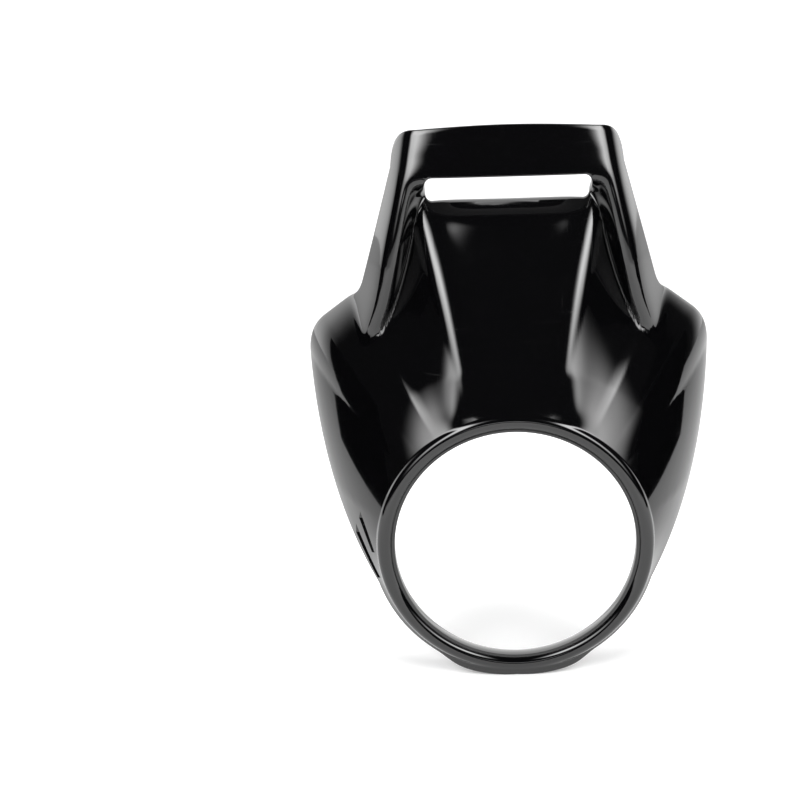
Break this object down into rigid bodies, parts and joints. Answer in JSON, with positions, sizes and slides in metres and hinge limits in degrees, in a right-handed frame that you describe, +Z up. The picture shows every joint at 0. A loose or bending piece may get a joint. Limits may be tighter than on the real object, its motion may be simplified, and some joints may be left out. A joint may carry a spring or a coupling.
{
  "type": "headlight cowl",
  "caption": "Moulded front cowl with a round lamp opening, a raised bead, a forward hood, an arched visor with an air slot, and swept side wings.",
  "frame": {"origin": "on the axis of the headlight opening, halfway along its wall", "axes": "the front faces -Y, +X is to the right of a viewer in front, +Z is up"},
  "size_m": [0.308, 0.1182, 0.4067],
  "materials": {
    "cowl": "gloss black, smooth outside and plain inside"
  },
  "bodies": {
    "root": {"cowl": "cowl"}
  },
  "joints": []
}
